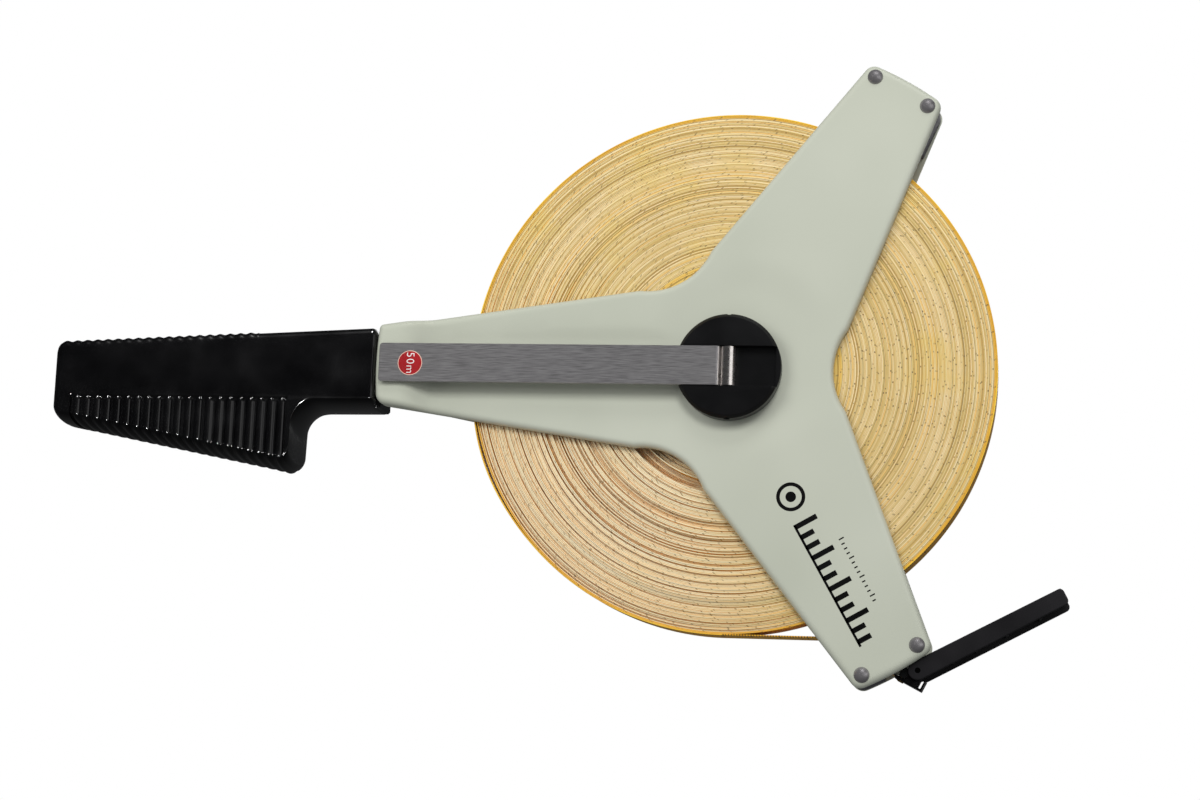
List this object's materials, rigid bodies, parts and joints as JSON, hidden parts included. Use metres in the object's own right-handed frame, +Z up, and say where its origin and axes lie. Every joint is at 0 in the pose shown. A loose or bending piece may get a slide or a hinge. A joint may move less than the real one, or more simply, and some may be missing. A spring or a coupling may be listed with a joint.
{
  "type": "surveyor tape reel",
  "caption": "Open-frame surveyor's tape reel with a fibreglass tape coil between two three-armed plates, a folding crank, a ribbed grip and an end hook with a pivoting handle bar.",
  "frame": {"origin": "on the reel's axis, in the middle of the tape's width", "axes": "+X away from the grip, +Y from the crank side to the back, along the reel's axis, +Z up in the picture"},
  "size_m": [0.3754, 0.0335, 0.2261],
  "materials": {
    "frame_paint": "satin sage-grey paint",
    "black_plastic": "satin black moulded plastic",
    "dark_grey_plastic": "dark grey moulded plastic",
    "drum_plastic": "moulded plastic",
    "steel_rivet": "polished steel",
    "steel_strip": "stainless steel, brushed along its length",
    "steel_plain": "bright steel",
    "brass": "brass",
    "tape_yellow": "yellow coated fibreglass tape",
    "tape_edge": "edges of the wound tape",
    "label_red": "printed paper label"
  },
  "bodies": {
    "frame": {"front_plate": "frame_paint", "rear_plate": "frame_paint", "grip": "black_plastic", "grip_screws": "steel_rivet", "arm_spacer": "dark_grey_plastic", "tape_mouth": "dark_grey_plastic", "arm_rivets": "steel_rivet", "front_bush": "black_plastic", "rear_bush": "black_plastic", "tape_lead": "tape_yellow"},
    "reel": {"spindle": "steel_plain", "spring_washer": "steel_plain", "reel_drum": "drum_plastic", "tape_anchor": "steel_plain", "tape_coil": "tape_edge", "hub_disc": "black_plastic", "disc_screw": "steel_plain", "hinge_pin": "steel_plain"},
    "crank": {"crank_arm": "steel_strip", "knob_pin": "steel_plain", "length_label": "label_red"},
    "knob": {"crank_knob": "black_plastic"},
    "tape_end": {"tape_tip": "tape_yellow", "end_bracket": "steel_plain", "tip_rivets": "brass", "hook_pin": "steel_plain"},
    "handle_bar": {"hook_handle": "black_plastic"}
  },
  "joints": [
    {"name": "reel_spin", "type": "hinge", "parent": "frame", "child": "reel", "pos_m": [0, 0, 0], "axis": [0, -1, 0], "range_deg": [0, 360]},
    {"name": "tape_draw", "type": "slide", "parent": "frame", "child": "tape_end", "axis": [0.891, 0, -0.454], "range_m": [0, 0.6]},
    {"name": "crank_fold", "type": "hinge", "parent": "reel", "child": "crank", "pos_m": [0, -0.0152, 0], "axis": [0, 0, 1], "range_deg": [0, 172]},
    {"name": "knob_spin", "type": "hinge", "parent": "crank", "child": "knob", "pos_m": [-0.107, -0.0135, 0], "axis": [0, -1, 0], "continuous": true},
    {"name": "bar_swing", "type": "hinge", "parent": "tape_end", "child": "handle_bar", "pos_m": [0.06918, 0, -0.10595], "axis": [0, 1, 0], "range_deg": [0, 114]}
  ],
  "couplings": [
    {"joint": "tape_draw", "follows": "reel_spin", "m_per_rad": 0.09526}
  ]
}
